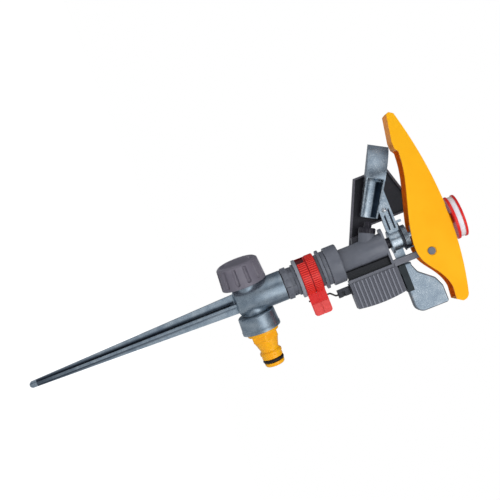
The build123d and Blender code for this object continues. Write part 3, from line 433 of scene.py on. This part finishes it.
def make_floor():
    """Pale floor that the spike's tip touches, white where it is lit."""
    size = 3000.0 * MM
    mesh = bpy.data.meshes.new("floor")
    mesh.from_pydata([(-size, -size, 0), (size, -size, 0), (size, size, 0), (-size, size, 0)], [],
                     [(0, 1, 2, 3)])
    thing = bpy.data.objects.new("floor", mesh)
    thing.location.z = -0.5 * MM
    made, tree = blank_material("floor_paper")
    path = add(tree, "ShaderNodeLightPath")
    lit = add(tree, "ShaderNodeBsdfDiffuse", {"Color": linear("#8c8e92")})
    glow = add(tree, "ShaderNodeEmission", {"Color": linear("#ffffff"), "Strength": 0.95})
    both = add(tree, "ShaderNodeAddShader", {0: lit.outputs[0], 1: glow.outputs[0]})
    pale = add(tree, "ShaderNodeBsdfDiffuse", {"Color": linear("#e9eaec")})
    dim = add(tree, "ShaderNodeEmission", {"Color": linear("#a4a8ad"), "Strength": 1.0})
    seen = add(tree, "ShaderNodeMath", {0: path.outputs["Is Camera Ray"],
                                        1: path.outputs["Is Transmission Ray"]}, operation="MAXIMUM")
    mirrored = add(tree, "ShaderNodeMixShader", {0: path.outputs["Is Glossy Ray"], 1: pale.outputs[0],
                                                 2: dim.outputs[0]})
    mixed = add(tree, "ShaderNodeMixShader", {0: seen.outputs[0], 1: mirrored.outputs[0],
                                              2: both.outputs[0]})
    add(tree, "ShaderNodeOutputMaterial", {"Surface": mixed.outputs[0]})
    mesh.materials.append(made)
    scene.collection.objects.link(thing)


# Surfaces worked out on grids

def grid_faces(rows, columns, wrap_rows, wrap_columns):
    """Quads of a grid: each joins a point, its neighbour on the next row and the two beside them."""
    row = np.arange(rows if wrap_rows else rows - 1)
    column = np.arange(columns if wrap_columns else columns - 1)
    a, b = np.meshgrid(row, column, indexing="ij")
    c, d = (a + 1) % rows, (b + 1) % columns
    corners = (a * columns + b, c * columns + b, c * columns + d, a * columns + d)
    return np.stack(corners, axis=-1).reshape(-1, 4)


def make_piece(name, sheets, finish, body, place=None, replaces=()):
    """One object from (grid of points in millimetres, wrapped rows, wrapped columns) sheets."""
    points, faces, count = [], [], 0
    for grid, wrap_rows, wrap_columns in sheets:
        rows, columns = grid.shape[:2]
        faces.append(grid_faces(rows, columns, wrap_rows, wrap_columns) + count)
        points.append(grid.reshape(-1, 3))
        count += rows * columns
    mesh = bpy.data.meshes.new(name)
    mesh.from_pydata((np.concatenate(points) * MM).tolist(), [], np.concatenate(faces).tolist())
    work = bmesh.new()
    work.from_mesh(mesh)
    bmesh.ops.remove_doubles(work, verts=work.verts, dist=0.001 * MM)
    bmesh.ops.dissolve_degenerate(work, dist=0.001 * MM, edges=work.edges)
    work.to_mesh(mesh)
    work.free()
    if place is not None:
        mesh.transform(place)
    mesh.polygons.foreach_set("use_smooth", np.ones(len(mesh.polygons), dtype=bool))
    mesh.set_sharp_from_angle(angle=math.radians(40))
    mesh.materials.append(finishes[finish])
    thing = bpy.data.objects.new(name, mesh)
    scene.collection.objects.link(thing)
    if replaces:
        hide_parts(*replaces)
    if body:
        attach(thing, body)
    return thing


def softened(points, radius, steps=5, closed=False):
    """Profile with each corner P made a curve (1-t)^2 A + 2t(1-t) P + t^2 B, A and B on its sides."""
    points = np.asarray(points, dtype=float)
    before, after = np.roll(points, 1, axis=0), np.roll(points, -1, axis=0)
    back, ahead = before - points, after - points
    back_length = np.linalg.norm(back, axis=1, keepdims=True)
    ahead_length = np.linalg.norm(ahead, axis=1, keepdims=True)
    start = points + back / back_length * np.minimum(radius, back_length * 0.45)
    end = points + ahead / ahead_length * np.minimum(radius, ahead_length * 0.45)
    t = np.linspace(0, 1, steps)[None, :, None]
    curve = (1 - t) ** 2 * start[:, None] + 2 * t * (1 - t) * points[:, None] + t ** 2 * end[:, None]
    if not closed:
        curve[0], curve[-1] = points[0], points[-1]
    return curve.reshape(-1, 2)


def evenly(points, step):
    """The same line with points no further apart than about one step."""
    lengths = np.linalg.norm(np.diff(points, axis=0), axis=1)
    keep = np.concatenate([[True], lengths > 1e-6])
    points = points[keep]
    along = np.concatenate([[0], np.cumsum(np.linalg.norm(np.diff(points, axis=0), axis=1))])
    count = int(along[-1] / step) + 2
    places = np.union1d(np.linspace(0, along[-1], count), along)
    return np.stack([np.interp(places, along, points[:, 0]), np.interp(places, along, points[:, 1])], axis=1)


def lathed(profile, turns, reach=None):
    """Profile (r, h) turned about Z: x = r cos a, y = r sin a, z = h; reach(a, r, h) changes r."""
    angle = np.linspace(0, 2 * math.pi, turns, endpoint=False)[:, None]
    r, h = profile[None, :, 0], profile[None, :, 1]
    radius = reach(angle, r, h) if reach else r + 0 * angle
    grid = np.stack([radius * np.cos(angle), radius * np.sin(angle), h + 0 * angle], axis=-1)
    return grid, True, False


def tube_along(path, radius, sides, reference):
    """Grid of a round tube on a path: P + radius (cos b N + sin b B), N square to the path and reference."""
    tangent = np.gradient(path, axis=0)
    tangent /= np.linalg.norm(tangent, axis=1, keepdims=True)
    normal = np.cross(tangent, np.asarray(reference, dtype=float))
    normal /= np.linalg.norm(normal, axis=1, keepdims=True)
    other = np.cross(tangent, normal)
    b = np.linspace(0, 2 * math.pi, sides, endpoint=False)[None, :, None]
    ring = np.cos(b) * normal[:, None] + np.sin(b) * other[:, None]
    shape = np.full(len(path), radius, dtype=float)
    grid = path[:, None] + ring * shape[:, None, None]
    ends = [np.repeat(path[i][None, None], sides, axis=1) for i in (0, -1)]
    return np.concatenate([ends[0], grid, ends[1]]), False, True


# The base's cross pipe: its turn about the riser and its height in millimetres
BASE_TURN = math.radians(10.0)
CROSS_Z = 186.3


def cross_place():
    """Lays what was turned about Z along the base's cross pipe."""
    return (Matrix.Rotation(BASE_TURN, 4, "Z") @ Matrix.Translation((0, 0, CROSS_Z * MM))
            @ Matrix.Rotation(math.radians(90), 4, "Y"))


# Screw cap of the second outlet: its ends, its radii, the seat in its bore, the bevel and the dish of its
# top, and its flutes, whose round ends have their middles this far from the cap's ends
CAP_START, CAP_END, CAP_SEAT = 12.6, 31.4, 28.2
CAP_RADIUS, CAP_SMALL, CAP_BORE = 18.3, 17.0, 9.2
CAP_BEVEL_LENGTH, CAP_BEVEL_WIDTH = 1.6, 2.2
DISH_RADIUS, DISH_FLOOR_RADIUS, DISH_DEPTH = 11.5, 10.8, 0.5
FLUTES, FLUTE_HALF, FLUTE_DEPTH = 12, 1.75, 1.7
FLUTE_FROM_START, FLUTE_FROM_END = 4.4, 3.9


def fluted(angle, r, h):
    """Radius of the side less a groove, sqrt(1 - (d / half width)^2) deep at d from its middle."""
    around = (((angle / (2 * math.pi) * FLUTES) % 1) - 0.5) * 2 * math.pi * CAP_RADIUS / FLUTES
    past = (np.maximum(0, CAP_START + FLUTE_FROM_START - h)
            + np.maximum(0, h - (CAP_END - FLUTE_FROM_END)))
    distance = np.hypot(around, past) / FLUTE_HALF
    groove = FLUTE_DEPTH * np.sqrt(np.maximum(0, 1 - distance ** 2))
    return np.where(r > CAP_SMALL - 1.0, r - groove, r + 0 * around)


def make_cap():
    """Fluted cap with a rounded shoulder, a dished top and its bore."""
    outside = softened([(CAP_BORE, CAP_START), (CAP_RADIUS, CAP_START),
                        (CAP_SMALL, CAP_END - CAP_BEVEL_LENGTH), (CAP_SMALL - CAP_BEVEL_WIDTH, CAP_END),
                        (DISH_RADIUS, CAP_END), (DISH_FLOOR_RADIUS, CAP_END - DISH_DEPTH),
                        (0, CAP_END - DISH_DEPTH)], 0.9)
    inside = np.array([(0, CAP_SEAT), (CAP_BORE, CAP_SEAT), (CAP_BORE, CAP_START)], dtype=float)
    make_piece("screw_cap", [lathed(evenly(outside, 0.4), 384, fluted), lathed(inside, 384)], "cap_nylon",
               "cap", cross_place(), ["blanking_cap"])


# Quick coupling nipple: radii and places along the cross pipe, from its tip to its root
NIPPLE_BORE, NIPPLE_TIP, NIPPLE_ROOT = 4.6, -57.4, -15.5
GROOVE_RADIUS, GROOVE_START, GROOVE_END = 5.85, -54.2, -51.0
LAND_RADIUS, CATCH_RADIUS, WAIST_RADIUS, TAPER_RADIUS = 8.45, 9.0, 7.6, 9.9
FLANGE_RADIUS, FLANGE_START, FLANGE_END = 12.9, -29.8, -26.5
COLLAR_RADIUS = 10.1
HEX_HALF, HEX_CORNER, HEX_START, HEX_END = 10.2, 1.12, -35.2, -29.9


def spanner_flats(angle, r, h):
    """A hexagon's radius, half width / cos(a), between flange and taper, with its corners turned off."""
    sixth = math.pi / 3
    flat = HEX_HALF / np.cos((angle + sixth / 2) % sixth - sixth / 2)
    flat = np.minimum(flat, HEX_HALF * HEX_CORNER)
    inside = (h > HEX_START) & (h < HEX_END) & (r > CATCH_RADIUS)
    return np.where(inside, flat, r + 0 * angle)


def make_nipple():
    """Amber nipple with a flange, spanner flats, taper, catching ring, seal groove and chamfered tip."""
    profile = softened([(NIPPLE_BORE, NIPPLE_TIP), (7.2, NIPPLE_TIP), (7.9, -56.5), (8.2, GROOVE_START),
                        (GROOVE_RADIUS, GROOVE_START), (GROOVE_RADIUS, GROOVE_END),
                        (LAND_RADIUS, GROOVE_END), (LAND_RADIUS, -47.9), (CATCH_RADIUS, -47.4),
                        (CATCH_RADIUS, -45.8), (8.6, -45.2), (7.7, -44.4), (WAIST_RADIUS, -43.0),
                        (TAPER_RADIUS, -36.0), (TAPER_RADIUS, FLANGE_START), (12.5, FLANGE_START),
                        (FLANGE_RADIUS, -29.2), (FLANGE_RADIUS, FLANGE_END), (COLLAR_RADIUS, FLANGE_END),
                        (COLLAR_RADIUS, NIPPLE_ROOT), (NIPPLE_BORE, NIPPLE_ROOT),
                        (NIPPLE_BORE, NIPPLE_TIP)], 0.45)
    make_piece("click_nipple", [lathed(evenly(profile, 0.5), 192, spanner_flats)], "yellow_acetal", "base",
               cross_place(), ["hose_adaptor"])


# Seal in the nipple's groove: the radius to the middle of its section, and the section's own radius
SEAL_MIDDLE = (GROOVE_START + GROOVE_END) / 2
SEAL_RADIUS, SEAL_WIRE = 7.2, 1.5


def make_seal():
    """Rubber ring of round section: (R + w cos b, w sin b) turned about the nipple's axis."""
    b = np.linspace(0, 2 * math.pi, 25)
    section = np.stack([SEAL_RADIUS + SEAL_WIRE * np.cos(b), SEAL_MIDDLE + SEAL_WIRE * np.sin(b)], axis=1)
    make_piece("nipple_o_ring", [lathed(section, 128)], "rubber", "base", cross_place(), ["adaptor_o_ring"])


# Fillets of the spike: a fin's half thickness, how far they sink into it, and their radius
FIN_HALF, FILLET_SINK = 1.1, 0.02
FILLET_AT_TIP, FILLET_GROWTH = 0.4, 2.6
SPIKE_ROOT, SPIKE_TIP = 170.0, 8.0


def make_spike_fillets():
    """Rounded inner corners of the four fins: quarter circles of radius tip + growth (h / root)."""
    h = np.linspace(SPIKE_TIP, SPIKE_ROOT, 60)[:, None]
    b = np.linspace(0, math.pi / 2, 9)[None, :]
    radius = FILLET_AT_TIP + FILLET_GROWTH * h / SPIKE_ROOT
    sheets = []
    for turn in range(4):
        x = FIN_HALF - FILLET_SINK + radius * (1 - np.sin(b))
        y = FIN_HALF - FILLET_SINK + radius * (1 - np.cos(b))
        x, y = (np.cos(turn * math.pi / 2) * x - np.sin(turn * math.pi / 2) * y,
                np.sin(turn * math.pi / 2) * x + np.cos(turn * math.pi / 2) * y)
        sheets.append((np.stack([x, y, h + 0 * b], axis=-1), False, False))
    make_piece("spike_fillets", sheets, "cast_zinc", "base")


# Spoon of the arm: where its trough starts and how it lies, its half width and flare, its dished floor and
# the deep side, which starts at a share of the half width and rises to a power of the way across
SPOON_AT = np.array([24.505, 0.0, 297.695])
SPOON_ALONG = np.array([0.8704, 0.0, 0.4924])
SPOON_ACROSS = np.array([-0.4924, 0.0, 0.8704])
SPOON_HALF, SPOON_FLARE = 5.35, 0.0302
SPOON_FLOOR, SPOON_DISH, SPOON_SIDE = -7.6, 1.6, 0.3
SIDE_RISE, SIDE_POWER, SIDE_REACH = 5.2, 1.7, 0.985
FLOOR_SKIN, SIDE_SKIN = 0.1, 0.05
FLOOR_FROM, FLOOR_TO, SIDE_FROM, SIDE_TO = 0.2, 32.4, 0.6, 29.2


def spoon_grid(s, u, y):
    """Points at s along the spoon, u half widths across its trough and y towards its open side."""
    half = SPOON_HALF + SPOON_FLARE * s
    return (SPOON_AT + s[..., None] * SPOON_ALONG + (half * u)[..., None] * SPOON_ACROSS
            + y[..., None] * np.array([0.0, 1.0, 0.0]))


def make_spoon_floor():
    """Floor of the spoon, y = floor + dish u^2, and its deep side, rise t^power above that."""
    s = np.linspace(FLOOR_FROM, FLOOR_TO, 40)[:, None]
    u = np.linspace(-1, 1, 25)[None, :]
    y = SPOON_FLOOR + FLOOR_SKIN + SPOON_DISH * u ** 2 + 0 * s
    make_piece("spoon_floor", [(spoon_grid(s + 0 * u, u + 0 * s, y), False, False)], "plated_zinc", "arm")
    t = np.linspace(0, 1, 17)[None, :]
    u = SPOON_SIDE + (SIDE_REACH - SPOON_SIDE) * t
    s = np.linspace(SIDE_FROM, SIDE_TO, 30)[:, None]
    start = SPOON_FLOOR + FLOOR_SKIN + SPOON_DISH * SPOON_SIDE ** 2 + SIDE_SKIN
    y = start + SIDE_RISE * t ** SIDE_POWER + 0 * s
    # The deep side gets the dark zinc as painted shade
    make_piece("spoon_side", [(spoon_grid(s + 0 * u, u + 0 * s, y), False, False)], "shade_painted_zinc", "arm")


# Stud on the arm's beam, with the dome's height as a share of its radius and the depth of its skirt
STUD_AT, STUD_RADIUS = np.array([25.7, 4.6, 310.19]), 1.9
STUD_DOME, STUD_SKIRT = 0.7, 1.2


def make_stud():
    """Bright domed head of the stud: radius r sin b, height dome r cos b in front of the beam."""
    b = np.linspace(0, math.pi / 2, 12)
    dome = np.stack([STUD_RADIUS * np.sin(b), STUD_DOME * STUD_RADIUS * np.cos(b)], axis=1)
    skirt = np.array([[STUD_RADIUS, -STUD_SKIRT], [0, -STUD_SKIRT]])
    place = Matrix.Translation(Vector(STUD_AT) * MM) @ Matrix.Rotation(math.radians(-90), 4, "X")
    make_piece("stud_head", [lathed(np.concatenate([dome, skirt]), 48)], "bright_steel", "arm", place)


# Lips of the two tabs: the tab's ends and faces, the seam between the rings, and how far a lip goes into
# its own tab and into the seam
TAB_END, TAB_START, TAB_NEAR, TAB_FAR = 32.5, 15.2, 1.15, 3.2
RING_SEAM_LOW, RING_SEAM_HIGH = 236.8, 237.1
LIP_SINK, LIP_REACH, LIP_EDGE = 0.02, 0.11, 0.05


def make_tab_lip(name, low, high, body):
    """Thin lip that narrows the gap between the tabs: a flat box with its upright edges rounded."""
    line = softened([(-TAB_END, TAB_NEAR), (-TAB_START, TAB_NEAR), (-TAB_START, TAB_FAR),
                     (-TAB_END, TAB_FAR)], LIP_EDGE, closed=True)
    z = np.array([low, low, high, high])[:, None]
    shrink = np.array([0.0, 1.0, 1.0, 0.0])[:, None]
    middle = line.mean(axis=0)
    x = middle[0] + (line[None, :, 0] - middle[0]) * shrink
    y = middle[1] + (line[None, :, 1] - middle[1]) * shrink
    make_piece(name, [(np.stack([x, y, z + 0 * x], axis=-1), False, True)], "ring_red", body)


# Arm spring: its coil, its upper leg, and the hook by which it holds the arm
COIL_RADIUS, COIL_WIRE, COIL_TURNS = 9.3, 0.5, 3.5
COIL_LOW, COIL_HIGH, LEG_TOP = 316.9, 320.4, 324.5
HOOK_REACH, HOOK_SWEEP, HOOK_BEND = 4.6, -2.9, 1.4


def make_arm_spring():
    """Torsion spring: a helix (R cos a, R sin a, low + pitch a / 2 pi), a hook on the arm, a leg above."""
    a = np.linspace(0, 2 * math.pi * COIL_TURNS, 220)
    rise = (COIL_HIGH - COIL_LOW) * a / a[-1]
    helix = np.stack([COIL_RADIUS * np.cos(a), COIL_RADIUS * np.sin(a), COIL_LOW + rise], axis=1)
    t = np.linspace(1, 0.04, 14)[:, None]
    hook = (np.array([COIL_RADIUS, 0, COIL_LOW]) + t * np.array([HOOK_REACH, 0, 0])
            + np.sin(t * HOOK_BEND) * np.array([0, HOOK_SWEEP, 0]))
    lower = np.concatenate([hook, helix])
    top = helix[-1] + np.linspace(0, 1, 8)[:, None] * np.array([0, 0, LEG_TOP - COIL_HIGH])
    spring = make_piece("torsion_spring", [tube_along(lower, COIL_WIRE, 12, (0, 0, 1)),
                                           tube_along(top, COIL_WIRE, 12, (0, 1, 0))],
                        "spring_steel", None, None, ["arm_spring"])
    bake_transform(spring)


make_cap()
make_nipple()
make_seal()
make_spike_fillets()
make_spoon_floor()
make_stud()
make_tab_lip("lower_tab_lip", RING_SEAM_LOW - LIP_SINK, RING_SEAM_LOW + LIP_REACH, "ring_lower")
make_tab_lip("upper_tab_lip", RING_SEAM_HIGH - LIP_REACH, RING_SEAM_HIGH + LIP_SINK, "ring_upper")
make_arm_spring()
# The hood's broad yellow side would tint the metal and plastic below it more than in the photograph
nodes["top_hood"].visible_glossy = False

make_camera()
make_world()
make_floor()
make_lamp("front_soft_box", (-330, 830, 560), 750, 5.6)
make_lamp("back_soft_box", (-300, -900, 500), 900, 5.0)
make_lamp("side_soft_box", (1000, 300, 500), 500, 1.8)
